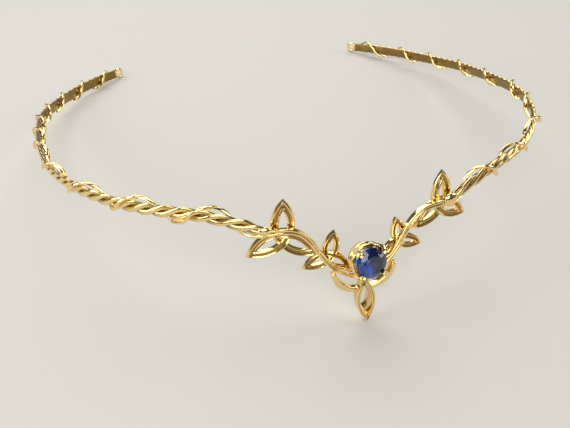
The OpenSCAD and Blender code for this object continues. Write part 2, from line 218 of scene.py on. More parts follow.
# Runs a tree on a mesh and keeps the result as a plain mesh at the origin
def runTree(name, source, tree, values, place=None, sharp=40):
    maker = addObject(name + "Maker", source)
    modifier = maker.modifiers.new("shape", "NODES")
    modifier.node_group = tree
    for item in tree.interface.items_tree:
        if item.in_out == "INPUT" and item.name in values:
            modifier[item.identifier] = values[item.name]
    bpy.context.view_layer.update()
    evaluated = maker.evaluated_get(bpy.context.evaluated_depsgraph_get())
    mesh = bpy.data.meshes.new_from_object(evaluated)
    bpy.data.objects.remove(maker)
    if place:
        mesh.transform(place)
    return finishPiece(name, mesh, sharp)


def finishPiece(name, mesh, sharp=40):
    mesh.name = name
    mesh.shade_smooth()
    mesh.set_sharp_from_angle(angle=radians(sharp))
    return addObject(name, mesh)


def faceOut(mesh):
    work = bmesh.new()
    work.from_mesh(mesh)
    bmesh.ops.remove_doubles(work, verts=work.verts, dist=samePoint)
    bmesh.ops.recalc_face_normals(work, faces=work.faces)
    work.to_mesh(mesh)
    work.free()
    return mesh


# Mesh through rings that have the same number of points. The last value is how much
# painted shade each point of a ring gets, by how deep in a recess it lies, from 0 to 1
def skin(name, rings, loop=False, caps=True, recess=None):
    n, k = len(rings), len(rings[0])
    last = n if loop else n - 1
    faces = [(i*k + j, i*k + (j + 1) % k, (i + 1) % n*k + (j + 1) % k, (i + 1) % n*k + j)
             for i in range(last) for j in range(k)]
    if caps and not loop:
        faces += [tuple(range(k)), tuple((n - 1)*k + j for j in reversed(range(k)))]
    mesh = bpy.data.meshes.new(name)
    mesh.from_pydata([p for ring in rings for p in ring], [], faces)
    if recess:
        layer = mesh.attributes.new("recess", "FLOAT", "POINT")
        layer.data.foreach_set("value", list(recess)*n)
    return faceOut(mesh)


# Lines for a tree to follow, each a list of rows of a point and the values stored there
def pathMesh(name, lines):
    rows = [row for line in lines for row in line]
    edges, begin = [], 0
    for line in lines:
        edges += [(begin + i, begin + i + 1) for i in range(len(line) - 1)]
        begin += len(line)
    mesh = bpy.data.meshes.new(name)
    mesh.from_pydata([row["at"] for row in rows], edges, [])
    for key in [key for key in rows[0] if key != "at"]:
        values = [row[key] for row in rows]
        if isinstance(values[0], Vector):
            layer = mesh.attributes.new(key, "FLOAT_VECTOR", "POINT")
            layer.data.foreach_set("vector", [c for v in values for c in v])
        else:
            mesh.attributes.new(key, "FLOAT", "POINT").data.foreach_set("value", values)
    return mesh


def linear(hexCode):
    parts = [int(hexCode[i:i + 2], 16)/255 for i in (1, 3, 5)]
    return [c/12.92 if c <= 0.04045 else ((c + 0.055)/1.055)**2.4 for c in parts] + [1]


print("layout ready, ring at", round(ringAt, 1))

# A new material, with what is the same all over it set on its shader
def newMaterial(name, values):
    material = bpy.data.materials.new(name)
    material.use_nodes = True
    shader = material.node_tree.nodes["Principled BSDF"]
    for key, value in values.items():
        shader.inputs[key].default_value = value
    return material, material.node_tree, shader


goldLook = {
    # bright and deep vary at random; the recess colour is painted shade
    "bright": "#FFE8A8", "deep": "#F0CC80", "recess": "#A88444", "cloudSize": 4,
    "roughness": 0.12, "recessRoughness": 0.3, "waves": 1, "grain": 1,
    "waveSize": 1.6, "waveHeight": 0.03,        # slow hollows left by hand polishing
    "scratchSize": 0.12, "scratchHeight": 0.0015,   # real ones are too fine to show
    "wear": (0.35, 0.75), "wearShares": (0.8, 1.5),   # of the scratches, and of the roughness
}


# Cast yellow gold, polished by hand: mirror-like with slow waves. It is rougher in
# recesses, and darker there as painted shade
def castGold(name, **changes):
    look = {**goldLook, **changes}
    material, tree, shader = newMaterial(name, {"Metallic": 1})
    place = addNode(tree, "ShaderNodeTexCoord").outputs["Object"]
    # mask of recesses: painted shade and a rougher finish follow it
    hidden = addNode(tree, "ShaderNodeAttribute", attribute_name="recess").outputs["Fac"]
    clouds = addNode(tree, "ShaderNodeTexNoise",
                     {"Vector": place, "Scale": 1/(look["cloudSize"]*mm), "Detail": 3})
    tone = addNode(tree, "ShaderNodeMix",
                   {0: clouds, 6: linear(look["bright"]), 7: linear(look["deep"])},
                   data_type="RGBA")
    dark = addNode(tree, "ShaderNodeMix",
                   {0: hidden, 6: tone.outputs[2], 7: linear(look["recess"])}, data_type="RGBA")
    fine = addNode(tree, "ShaderNodeTexNoise",
                   {"Vector": place, "Scale": 1/(look["scratchSize"]*mm), "Detail": 4})
    least, most = (look["roughness"]*share for share in look["wearShares"])
    worn = addNode(tree, "ShaderNodeMapRange",
                   {"Value": fine, "From Min": look["wear"][0], "From Max": look["wear"][1],
                    "To Min": least, "To Max": most})
    rough = addNode(tree, "ShaderNodeMix",
                    {0: hidden, 2: worn, 3: look["recessRoughness"]}, data_type="FLOAT")
    slow = addNode(tree, "ShaderNodeTexNoise",
                   {"Vector": place, "Scale": 1/(look["waveSize"]*mm), "Detail": 1})
    slowBump = addNode(tree, "ShaderNodeBump",
                       {"Height": slow, "Strength": 1,
                        "Distance": look["waveHeight"]*look["waves"]*mm})
    fineBump = addNode(tree, "ShaderNodeBump",
                       {"Height": fine, "Strength": 1, "Normal": slowBump,
                        "Distance": look["scratchHeight"]*look["grain"]*mm})
    tree.links.new(dark.outputs[2], shader.inputs["Base Color"])
    tree.links.new(rough.outputs[0], shader.inputs["Roughness"])
    tree.links.new(fineBump.outputs[0], shader.inputs["Normal"])
    return material


stoneLook = {
    "glass": "#BCDCFF", "ior": 1.77, "metallic": 0.25, "roughness": 0.3,
    "paintedFlashBlues": ((0, "#0A1230"), (0.45, "#0048E8"), (1, "#28B0FF")),   # painted flashes: dark navy to bright blue, by a facet's flash
    "glint": "#E4F6FF", "glintSize": 1.1, "glintEdge": (0.36, 0.26),   # painted white glints
}


# Cut sapphire: clear and faintly blue, so that the facets under it show through
def sapphireGlass():
    return newMaterial("cutSapphire", {
        "Base Color": linear(stoneLook["glass"]), "Transmission Weight": 1,
        "IOR": stoneLook["ior"], "Roughness": 0})[0]


# The stone's lower facets: blue, with painted flashes brighter to the left and painted glints
def paintedFlashFacets():
    look = stoneLook
    material, tree, shader = newMaterial(
        "blueFacetsPaintedFlash", {"Metallic": look["metallic"], "Roughness": look["roughness"]})
    flash = addNode(tree, "ShaderNodeAttribute", attribute_name="flash").outputs["Fac"]
    tone = addNode(tree, "ShaderNodeValToRGB", {"Fac": flash})
    ramp = tone.color_ramp.elements
    ramp.new(look["paintedFlashBlues"][1][0])
    for stop, (at, colour) in zip(ramp, look["paintedFlashBlues"]):
        stop.position, stop.color = at, linear(colour)
    place = addNode(tree, "ShaderNodeTexCoord").outputs["Object"]
    # painted glints: small white dots on the brighter facets
    grains = addNode(tree, "ShaderNodeTexVoronoi",
                     {"Vector": place, "Scale": 1/(look["glintSize"]*mm)})
    dots = addNode(tree, "ShaderNodeMapRange",
                   {"Value": grains.outputs["Distance"], "From Min": look["glintEdge"][0],
                    "From Max": look["glintEdge"][1]})
    glint = addNode(tree, "ShaderNodeMath", {0: dots, 1: flash}, operation="MULTIPLY")
    lit = addNode(tree, "ShaderNodeMix", {0: glint, 6: tone, 7: linear(look["glint"])},
                  data_type="RGBA")
    tree.links.new(lit.outputs[2], shader.inputs["Base Color"])
    return material


braidGold = castGold("polishedCastGold", recess="#5E4218")   # brown shade between the strands
wireGold = castGold("rolledGoldWire", roughness=0.1, waves=0.6)   # even, with narrow lights
# Strip left satin, and painted dark as shade, which makes a dull dark ground behind the braid
shadedStripGold = castGold("satinStripPaintedShade", bright="#A5864C", deep="#776030", roughness=0.3, waves=0.5,
                     grain=2)
knotGold = castGold("polishedKnotGold", waves=0.8)   # calmer than the braid
settingGold = castGold("polishedSettingGold", roughness=0.1, waves=0.6)   # clear, sharp lights
stoneBlue, stonePaintedFlash = sapphireGlass(), paintedFlashFacets()
print("materials ready")


# Puts a finished piece in the body root and hides the CAD node that it stands for
def placePiece(piece, node):
    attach(piece, "root")
    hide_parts(node)


def coated(piece, material):
    piece.data.materials.append(material)
    return piece


ribbon = {"cornerSteps": 4, "cuts": 1, "web": -0.1, "bead": 0.35}   # shares of half its depth


# Sweeps a ribbon on edge along lines that carry the way out from the band: a rounded
# bead lies at its outer edge, and it is thinner towards its inner edge
def ribbonTree():
    tree, given = newTree("edgeRibbon", {
        "Depth": "Float", "Thickness": "Float", "Inner Share": "Float", "Corner": "Float",
        "Material": "Material"})
    line = addNode(tree, "GeometryNodeMeshToCurve", {"Mesh": given["Geometry"]})
    out = addNode(tree, "GeometryNodeInputNamedAttribute", {"Name": "out"},
                  data_type="FLOAT_VECTOR")
    facing = addNode(tree, "GeometryNodeSetCurveNormal", {"Curve": line, "Normal": out},
                     mode="FREE")
    shape = addNode(tree, "GeometryNodeCurvePrimitiveQuadrilateral",
                    {"Width": given["Depth"], "Height": given["Thickness"]}, mode="RECTANGLE")
    rounded = addNode(tree, "GeometryNodeFilletCurve",
                      {"Curve": shape, "Count": ribbon["cornerSteps"], "Radius": given["Corner"],
                       "Limit Radius": True}, mode="POLY")
    finer = addNode(tree, "GeometryNodeSubdivideCurve", {"Curve": rounded, "Cuts": ribbon["cuts"]})
    place = addNode(tree, "GeometryNodeInputPosition")
    parts = addNode(tree, "ShaderNodeSeparateXYZ", {0: place}).outputs
    half = addNode(tree, "ShaderNodeMath", {0: given["Depth"], 1: 0.5}, operation="MULTIPLY")
    web, bead = (addNode(tree, "ShaderNodeMath", {0: half, 1: ribbon[key]}, operation="MULTIPLY")
                 for key in ("web", "bead"))
    narrow = addNode(tree, "ShaderNodeMapRange",
                     {"Value": parts["X"], "From Min": web, "From Max": bead,
                      "To Min": given["Inner Share"], "To Max": 1.0})
    width = addNode(tree, "ShaderNodeMath", {0: parts["Y"], 1: narrow}, operation="MULTIPLY")
    moved = addNode(tree, "ShaderNodeCombineXYZ", {0: parts["X"], 1: width})
    shaped = addNode(tree, "GeometryNodeSetPosition", {"Geometry": finer, "Position": moved})
    size = addNode(tree, "GeometryNodeInputNamedAttribute", {"Name": "size"}, data_type="FLOAT")
    swept = addNode(tree, "GeometryNodeCurveToMesh",
                    {"Curve": facing, "Profile Curve": shaped, "Scale": size, "Fill Caps": True})
    return endTree(tree, swept, given)


edgeRibbon = ribbonTree()

# The braid: flat strands that weave over one plain strip
band = {
    "front": 22, "frontTaper": 5, "tipHeight": 1.2, "height": 2.8, "rearHeight": 3.4,
    "rearSwells": (120, 200), "thickness": 0.7, "crown": 0.1, "corner": 0.16, "cornerSteps": 3,
    "spacing": 0.5, "stripShare": 0.72, "stripWidens": (85, 115), "shade": (1, 0.8, 0.4, 0),
}
braid = {
    "strands": 3, "rise": 0.65, "plaitFront": 4.55, "plaitSide": 3.6, "plaitFrom": 31,
    "plaitEven": 85, "sway": 0.76, "strandWidth": 1.3, "strandThickness": 0.85, "start": 0.45,
    "mid": 0.6, "swing": 0.42, "swell": 0.12, "spacing": 0.2, "edges": 14,
    "least": 0.6, "most": 1.15, "endGap": 1, "rearSize": 0.2, "rearTaper": (2, 6),
}
bandRear = ringAt - endRing["radius"] + endRing["lap"]


def halfHeightAt(s):
    tip = band["tipHeight"]/2
    front = fade((s - band["front"])/band["frontTaper"])
    rear = fade(s, *band["rearSwells"])
    return (tip + (band["height"]/2 - tip)*front)*(1 - rear) + band["rearHeight"]/2*rear


# How many plaits lie between plaitFrom and s. They grow shorter up to plaitEven
def plaitsTo(s):
    first, last, even = braid["plaitFront"], braid["plaitSide"], braid["plaitEven"]
    gain = (first - sqrt(first*last))/(even - braid["plaitFrom"])
    x = min(s, even) - braid["plaitFrom"]
    return x/(first - gain*x) + max(s - even, 0)/last


def roundedBox(width, height, corner, count=5):
    return [(x*(width/2 - corner) + corner*cos(w), y*(height/2 - corner) + corner*sin(w))
            for x, y, turn in ((1, 1, 0), (-1, 1, 90), (-1, -1, 180), (1, -1, 270))
            for w in (radians(turn + 90*i/count) for i in range(count + 1))]


# The strip's front lies in the shade of the braid, so it counts as a recess
def makeStrip(name, side):
    rings, shade = [], list(band["shade"])
    for u in steps(round((bandRear - band["front"])/band["spacing"])):
        s = band["front"] + (bandRear - band["front"])*u
        share = band["stripShare"] + (1 - band["stripShare"])*fade(s, *band["stripWidens"])
        box = roundedBox(band["thickness"], 2*halfHeightAt(s)*share, band["corner"],
                         band["cornerSteps"])
        rings.append([spot(s, bandHeightAt(s) + y, x, side) for x, y in box])
    mesh = skin(name, rings, recess=shade + [0]*(2*len(shade)) + shade[::-1])
    return coated(finishPiece(name, mesh, 30), shadedStripGold)


def braidTree():
    sizes = ("Strand Width", "Strand Thickness", "Sway", "Rise", "Mid", "Swing", "Swell", "Base")
    tree, given = newTree("flatBraid", {"Strands": "Int", **dict.fromkeys(sizes, "Float"),
                                        "Edges": "Int", "Material": "Material"})
    line = addNode(tree, "GeometryNodeMeshToCurve", {"Mesh": given["Geometry"]})
    copies = addNode(tree, "GeometryNodeDuplicateElements",
                     {"Geometry": line, "Amount": given["Strands"]}, domain="SPLINE")
    known = {key: given[key] for key in ("Strands", *sizes)}
    known["copy"] = copies.outputs["Duplicate Index"]
    for key, kind in (("turn", "FLOAT"), ("half", "FLOAT"), ("size", "FLOAT"),
                      ("up", "FLOAT_VECTOR"), ("front", "FLOAT_VECTOR")):
        known[key] = addNode(tree, "GeometryNodeInputNamedAttribute", {"Name": key}, data_type=kind)
    for key, operation, *terms in (   # each row works out one value from those known so far
            ("share", "DIVIDE", "copy", "Strands"),
            ("angle", "MULTIPLY_ADD", "share", 2*pi, "turn"),
            ("sine", "SINE", "angle"),
            ("cosine", "COSINE", "angle"),
            ("forth", "MULTIPLY", "cosine", -1.0),
            ("reach", "MULTIPLY", "half", "Sway"),
            ("sideways", "MULTIPLY", "reach", "sine"),
            ("level", "MULTIPLY_ADD", "forth", "Swing", "Mid"),
            ("height", "MULTIPLY", "level", "Rise"),
            ("forward", "ADD", "height", "Base"),
            # painted shade: a strand is darker where it passes behind the others
            ("hidden", "MULTIPLY_ADD", "forth", -0.5, 0.5),
            ("recess", "POWER", "hidden", 2.0),
            ("slimmer", "MULTIPLY", "Swell", -1.0),
            ("swollen", "MULTIPLY_ADD", "sine", "slimmer", 1.0),
            ("swell", "MULTIPLY", "size", "swollen")):
        known[key] = addNode(tree, "ShaderNodeMath",
                             {i: known.get(term, term) for i, term in enumerate(terms)},
                             operation=operation)
    moves = [addNode(tree, "ShaderNodeVectorMath", {0: known[way], "Scale": known[distance]},
                     operation="SCALE")
             for way, distance in (("up", "sideways"), ("front", "forward"))]
    move = addNode(tree, "ShaderNodeVectorMath", dict(enumerate(moves)), operation="ADD")
    strands = addNode(tree, "GeometryNodeSetPosition", {"Geometry": copies, "Offset": move})
    for key in ("recess", "swell"):
        strands = addNode(tree, "GeometryNodeStoreNamedAttribute",
                          {"Geometry": strands, "Name": key, "Value": known[key]},
                          data_type="FLOAT", domain="POINT")
    facing = addNode(tree, "GeometryNodeSetCurveNormal",
                     {"Curve": strands, "Normal": known["front"]}, mode="FREE")
    ring = addNode(tree, "GeometryNodeCurvePrimitiveCircle",
                   {"Resolution": given["Edges"], "Radius": 0.5})
    size = addNode(tree, "ShaderNodeCombineXYZ",
                   {0: given["Strand Thickness"], 1: given["Strand Width"], 2: 1.0})
    oval = addNode(tree, "GeometryNodeTransform", {"Geometry": ring, "Scale": size})
    swell = addNode(tree, "GeometryNodeInputNamedAttribute", {"Name": "swell"}, data_type="FLOAT")
    swept = addNode(tree, "GeometryNodeCurveToMesh",
                    {"Curve": facing, "Profile Curve": oval, "Scale": swell, "Fill Caps": True})
    return endTree(tree, swept, given)


flatBraid = braidTree()


def makeBraid(name, side):
    look, rows = braid, []
    length = bandRear - band["front"] - look["endGap"]
    for u in steps(round(length/look["spacing"])):
        s = band["front"] + length*u
        half = halfHeightAt(s)
        size = max(look["least"], min(half/(band["height"]/2), look["most"]))
        rear = look["rearSize"] + (1 - look["rearSize"])*fade(bandRear - s, *look["rearTaper"])
        rows.append({"at": spot(s, bandHeightAt(s), 0, side), "front": frontAt(s, side),
                     "up": upAxis, "half": half*mm, "size": size*rear,
                     "turn": -side*2*pi/look["strands"]*(plaitsTo(s) + look["start"])})
    base = band["thickness"]/2 + band["crown"] - look["strandThickness"]/2
    return runTree(name, pathMesh(name, [rows]), flatBraid, {
        "Strands": look["strands"], "Strand Width": look["strandWidth"]*mm,
        "Strand Thickness": look["strandThickness"]*mm, "Sway": look["sway"],
        "Rise": look["rise"]*mm, "Mid": look["mid"], "Swing": look["swing"],
        "Swell": look["swell"], "Base": base*mm, "Edges": look["edges"],
        "Material": braidGold}, sharp=60)


def latheRings(profile, count):
    return [[Vector((r*cos(a), r*sin(a), z)) for r, z in profile] for a in turns(count)]


def makeEndRing(name, side):
    ring = endRing
    middle = (ring["radius"] + ring["bore"])/2
    shape = [(middle + x, y) for x, y in
             roundedBox(ring["radius"] - ring["bore"], ring["length"], ring["round"])]
    mesh = skin(name, latheRings(shape, ring["steps"]), loop=True)
    turn = frontAt(ringAt, side).to_track_quat("Z", "Y").to_matrix().to_4x4()
    centre = spot(ringAt, bandHeightAt(ringAt), 0, side)
    mesh.transform(Matrix.Translation(centre) @ turn @ Matrix.Scale(mm, 4))
    return coated(finishPiece(name, mesh, 60), wireGold)


for word, side in sides.items():
    for piece in (makeStrip(word + "BandStrip", side), makeBraid(word + "Braid", side),
                  makeEndRing(word + "EndRing", side)):
        placePiece(piece, word + "_band")
print("bands ready")

# The ribbon that winds on edge once round the band between one crest and the next. A
# crest is its s and its share of the usual clearance. A pair is from where to where
wrap = {
    "depth": 0.9, "thickness": 0.72, "innerShare": 0.5, "corner": 0.3, "stepsPerTurn": 72,
    "first": -0.22, "last": 0.25, "gap": 0.12, "spare": 0.18, "flatness": 1.6,
    "slackFront": 0.95, "slackRear": 0.45, "slackFalls": (40, 100), "slackUnder": 0.4,
    "near": (90, 60), "far": (75, 95), "underFrom": (50, 60), "underTo": (125, 110),
    "tight": 0.32, "underThin": 0.45, "power": 0.7, "underPower": 0.2, "underSpread": 3,
    "wider": 0.3, "slimmer": 0.25, "backWider": 0.55, "nearOut": 0.1, "farIn": 0.25,
    "backIn": 0.12,
    "left": ((35.2, 0.75), (53.8, 0.6), (69.5, 0.7), (87, 1), (105, 1), (122, 1), (140, 1),
             (157, 1), (172.5, 1), (188.5, 1), (203.5, 1)),
    "right": ((32.8, 0.85), (48, 0.6), (67.8, 0.9), (90, 1), (104, 1), (127, 1), (148, 1),
              (168, 1), (184, 1), (203, 1)),
}


def wrapRow(crests, u, side):
    look = wrap
    s, share = smooth([(i, *crest) for i, crest in enumerate(crests)], u)[1:]
    turn = radians(90 - 360*u)
    sine, cosine = sin(turn), cos(turn)
    near, far = fade(s, *look["near"]), fade(s, *look["far"])
    under = max(-sine, 0)*fade(s, *look["underFrom"])*fade(s, *look["underTo"])
    front, back = max(cosine, 0), max(-cosine, 0)*far
    slack = look["slackUnder"] - under*look["tight"]
    if sine > 0:
        usual = look["slackRear"] - look["slackFront"]
        slack = share*(look["slackFront"] + usual*fade(s, *look["slackFalls"]))
    size = (1 - look["underThin"]*under + front*(look["wider"]*near - look["slimmer"]*far)
            + look["backWider"]*back)
    rise = max(halfHeightAt(s), band["height"]/2) + look["depth"]*min(size, 1)/2 + slack
    inner = band["thickness"]/2 + look["gap"] + look["depth"]/2
    outer = inner + braid["rise"] + band["crown"]
    power = look["power"] + look["underPower"]*fade(under*look["underSpread"])
    high, deep = (copysign(abs(c)**power, c) for c in (sine, cosine))
    z = bandHeightAt(s) + high*rise
    o = (outer - inner)/2 + deep*((outer + inner)/2 + look["spare"])
    o += front*(look["nearOut"]*near - look["farIn"]*far) - look["backIn"]*back
    out = frontAt(s, side)*cosine*look["flatness"] + upAxis*sine
    return {"at": spot(s, z, o, side), "out": out.normalized(), "size": size}


# Turns each row's way out square to the line
def squared(rows):
    for i, row in enumerate(rows):
        run = (rows[min(i + 1, len(rows) - 1)]["at"] - rows[max(i - 1, 0)]["at"]).normalized()
        row["out"] = (row["out"] - run*run.dot(row["out"])).normalized()
    return rows


def makeRibbon(name, lines, look, material):
    return runTree(name, pathMesh(name, lines), edgeRibbon, {
        "Depth": look["depth"]*mm, "Thickness": look["thickness"]*mm,
        "Inner Share": look["innerShare"], "Corner": look["corner"]*mm, "Material": material})


for word, side in sides.items():
    crests = wrap[word]
    rounds = len(crests) - 1 + wrap["last"] - wrap["first"]
    rows = squared([wrapRow(crests, wrap["first"] + rounds*u, side)
                    for u in steps(round(rounds*wrap["stepsPerTurn"]))])
    placePiece(makeRibbon(word + "WrapWire", [rows], wrap, wireGold), word + "_wrap_wire")
print("wrap wires ready")

# The vines: two ribbons on edge, side by side. Rows are s, z, o and twist
vine = {
    "thickness": 0.68, "depth": 1.5, "pitch": 0.74, "corner": 0.26, "innerShare": 0.85,
    "endSpread": 0.9, "spreads": (6, 8), "steps": 12,   # spreads: between which rows
    "lead": ((30.8, -1.7, -0.84, 90), (30, -2.9, -0.9, 90), (29.3, -4.2, -0.95, 90),
             (28.5, -5.3, -0.8, 60), (27, -5.95, -0.35, 20), (24.8, -6, -0.1, 0),
             (22.6, -5.9, -0.1, 0)),
    "upperStart": ((21.85, -4.75, -0.1, 0),),
    "run": ((20.2, -5.35, -0.2, 0), (17.4, -5.65, -0.4, 0), (14.9, -6.8, -0.5, 0),
            (12.9, -8.8, -0.5, 0), (11.2, -11.6, -0.5, 0), (9.6, -14.2, -0.4, 0),
            (7.9, -16.5, -0.2, 10), (6, -18, 0.1, 35), (4.2, -18.9, 0.3, 50),
            (2.8, -19.4, 0.3, 60)),
    "lowerEnd": ((2.2, -20.36, 0.35, 62),),
}


# The vine's middle run moved to one side of itself, by more and more at its end
def besideRun(distance):
    run = vine["run"]
    moved = []
    for i, row in enumerate(run):
        a, b = run[max(i - 1, 0)], run[min(i + 1, len(run) - 1)]
        way = Vector((b[0] - a[0], b[1] - a[1])).normalized()
        step = distance*(1 + vine["endSpread"]*fade(i, *vine["spreads"]))
        moved.append((row[0] - way.y*step, row[1] + way.x*step, row[2], row[3]))
    return tuple(moved)


# A vine's ribbon stands on edge, with its bead to the front
def vineRows(table, side):
    count = (len(table) - 1)*vine["steps"]
    found = [along(table, (len(table) - 1)*u) for u in steps(count)]
    points = [spot(f[0], f[1], f[2], side) for f in found]
    rows = []
    for i, f in enumerate(found):
        run = (points[min(i + 1, count)] - points[max(i - 1, 0)]).normalized()
        front = frontAt(f[0], side)
        flat = front.cross(run).normalized()*side
        twist = radians(f[3])
        rows.append({"at": points[i], "out": front*cos(twist) - flat*sin(twist), "size": 1.0})
    return squared(rows)


# The knots: three arcs that pass a little over the middle and join at pointed tips
knot = {
    "thickness": 1.1, "share": 0.12, "groove": 0.42, "over": 0.24, "under": 0.22, "bump": 16,
    "steps": 60, "rims": (0.19, 0.14), "rimShade": 0.6, "soft": 0.15, "seam": 0.002,
    "left": ((19.2, -7.9, -1.75, 8.65, 1.95, 4), (8, -14.7, -1.6, 6.2, 1.35, 11)),
    "right": ((22.4, -6.6, -1.75, 7.8, 1.95, 1), (10.7, -13.8, -1.6, 5.76, 1.35, 11)),
}   # a row is s, z, o, reach, strand width and turn


# Places copies of a mesh round its z axis and fuses them where they meet
def repeatTree():
    tree, given = newTree("repeatRound", {"Count": "Int", "First": "Float", "Material": "Material"})
    points = addNode(tree, "GeometryNodePoints", {"Count": given["Count"]})
    index = addNode(tree, "GeometryNodeInputIndex")
    full = addNode(tree, "ShaderNodeMath", {0: 2*pi, 1: given["Count"]}, operation="DIVIDE")
    angle = addNode(tree, "ShaderNodeMath", {0: index, 1: full, 2: given["First"]},
                    operation="MULTIPLY_ADD")
    turn = addNode(tree, "FunctionNodeAxisAngleToRotation", {"Axis": (0, 0, 1), "Angle": angle})
    copies = addNode(tree, "GeometryNodeInstanceOnPoints",
                     {"Points": points, "Instance": given["Geometry"], "Rotation": turn})
    real = addNode(tree, "GeometryNodeRealizeInstances", {"Geometry": copies})
    return endTree(tree, addNode(tree, "GeometryNodeMergeByDistance",
                                 {"Geometry": real, "Distance": knot["seam"]}), given)


repeatRound = repeatTree()


# An arc of radius r round the point that lies centre below the middle, from tip to tip.
# Its ends are cut on the lines that leave the middle at the angle tip. The section at an
# angle along the arc is a list of how far out and how far forward its points lie
def pointedArc(r, centre, half, tip, count, sectionAt):
    rings = []
    for u in steps(count):
        a = -half + 2*half*u
        out = Vector((-sin(a), cos(a), 0))
        rings.append([Vector((0, -centre, z)) + out*(r + x) for x, z in sectionAt(a)])
    for end, a, sign in ((0, -half, 1), (-1, half, -1)):
        across = Vector((-sin(tip)*sign, cos(tip), 0))
        run = Vector((-cos(a), -sin(a), 0))
        rings[end] = [p - run*(p.dot(across)/run.dot(across)) for p in rings[end]]
    return rings


# Section of a knot's strand: two half-round rims with a groove between them
def strandSection(width, lift):
    half, soft = knot["thickness"]/2, knot["soft"]
    top = half + lift
    outer, inner = (share*width for share in knot["rims"])
    left, right = 2*inner - width/2, width/2 - 2*outer
    section, recess = [], []
    # painted shade: the groove and the rims' edges beside it are darker
    for x, rim in ((width/2 - outer, outer), (inner - width/2, inner)):
        for w in range(0, 181, 45):
            turn = radians(w)
            section.append((x + rim*cos(turn), top - rim + rim*sin(turn)))
            recess.append(knot["rimShade"] if (w == 180) == (x > 0) and w in (0, 180) else 0)
        if x > 0:
            third = (right - left)/3
            section += [(right - third, top - knot["groove"]), (left + third, top - knot["groove"])]
            recess += [1, 1]
    section += [(-width/2, -half + soft), (-width/2 + soft, -half), (width/2 - soft, -half),
                (width/2, -half + soft)]
    return section, recess + [0]*4


def makeKnot(name, side, row):
    s, z, o, reach, width, turn = row
    slant = radians(30)   # between the way to a tip and the side of the triangle
    chord, sag = reach*cos(slant), reach*(0.5 + knot["share"])
    r = (chord*chord + sag*sag)/(2*sag)
    centre = r - knot["share"]*reach
    crossing = abs(acos(centre*cos(slant)/r) - slant)
    bump = radians(knot["bump"])

    def sectionAt(a):
        over, under = (cos(min(abs(a - way*crossing)/bump, 1)*pi/2)**2 for way in (1, -1))
        return strandSection(width, knot["over"]*over - knot["under"]*under)[0]

    rings = pointedArc(r, centre, asin(chord/r), -slant, knot["steps"], sectionAt)
    mesh = skin(name, rings, caps=False, recess=strandSection(width, 0)[1])
    piece = runTree(name, mesh, repeatRound, {"Count": 3, "First": 0.0, "Material": knotGold},
                    place=uprightAt(s, z, o, side) @ turned(turn, "Z"), sharp=35)
    faceOut(piece.data)
    return piece


# Rings of a ball of radius 1, from pole to pole. It may bulge a little on some sides
def ballRings(rows, sides, uneven=0, bulges=3):
    return [[Vector((sin(w)*cos(a)*(1 + uneven*sin(bulges*a)), sin(w)*sin(a), cos(w)))
             for a in turns(sides)] for w in (pi*i/rows for i in range(1, rows))]


# Solder that closed the joints, left as soft lumps: s, z, o and the three radii of each
solder = {
    "rows": 12, "sides": 24, "uneven": 0.08,
    "lumps": {
        "Main": ((23.4, -4.7, 0.35, 1.6, 1.25, 0.75), (23.9, -4.9, 0.4, 1.9, 1.95, 0.95)),
        "Small": ((8.3, -15.6, -0.9, 0.55, 0.45, 0.5), (11.0, -14.7, -0.9, 0.55, 0.45, 0.5)),
    },
}


def makeLump(name, side, row):
    s, z, o, *radii = row
    mesh = skin(name, ballRings(solder["rows"], solder["sides"], solder["uneven"]))
    mesh.transform(uprightAt(s, z, o, side) @ Matrix.Diagonal((*radii, 1)))
    return coated(finishPiece(name, faceOut(mesh), 80), knotGold)


for i, (word, side) in enumerate(sides.items()):
    lines = [vineRows(vine["lead"] + besideRun(vine["pitch"]/2) + vine["lowerEnd"], side),
             vineRows(vine["upperStart"] + besideRun(-vine["pitch"]/2), side)]
    made = [makeRibbon(word + "Vine", lines, vine, knotGold)]
    for size, row in zip(("Large", "Small"), knot[word]):
        made.append(makeKnot(word + size + "Knot", side, row))
    for size, rows in solder["lumps"].items():
        made.append(makeLump(word + size + "Solder", side, rows[i]))
    for piece in made:
        placePiece(piece, word + "_knotwork")
print("vines and knots ready")

# The setting is drawn with the stone's axis along z, and its sizes start at the sheet
holder = {
    "height": -15, "tilt": 9, "turn": 4, "girdle": 5.2, "steps": 72,
    "outline": (   # distance from the axis and height. An arc adds radius, from, to and steps
        (2.95, 0.08), (3.03, 0), (3.6, 0), (3.7, 0.1), (3.76, 1.2), (3.84, 1.6, 0.36, -70, 80, 8),
        (3.93, 2.3), (4.02, 3.3), (4.2, 3.8, 0.36, -100, 130, 12), (3.75, 3.82),
        (3.53, 3.88, 0.2, 40, 200, 8), (3.35, 3.45), (3.1, 1.2)),
}
claw = {
    "count": 4, "first": 45, "steps": 40, "width": 1.4, "thickness": 0.76, "gain": 0.08,
    "soft": 0.12, "roundFrom": 0.9, "roundEnd": 0.1,
    "ridges": ((1, -0.18), (0.86, 0), (0.5, 0.04), (0.2, -0.1)), "groove": -0.17,
    "path": ((3.72, 0.4, 1), (4.06, 2.1, 1), (4.42, 3.9, 0.98), (4.7, 5.0, 0.94),
             (4.72, 5.6, 0.9), (4.45, 6.02, 0.88), (3.95, 6.16, 0.84),
             (3.45, 6.1, 0.78)),   # distance from the axis, height and share of the width
}
backLoop = {
    "radius": 6.65, "middle": (1.2, -17.1), "from": -88, "to": -10,
    "widths": ((0, 1.0), (0.5, 1.75), (1, 1.15)), "depth": 2.0, "corner": 0.42, "front": 0.9,
    "knob": 0.68, "knobSteps": 8, "steps": 44,
}
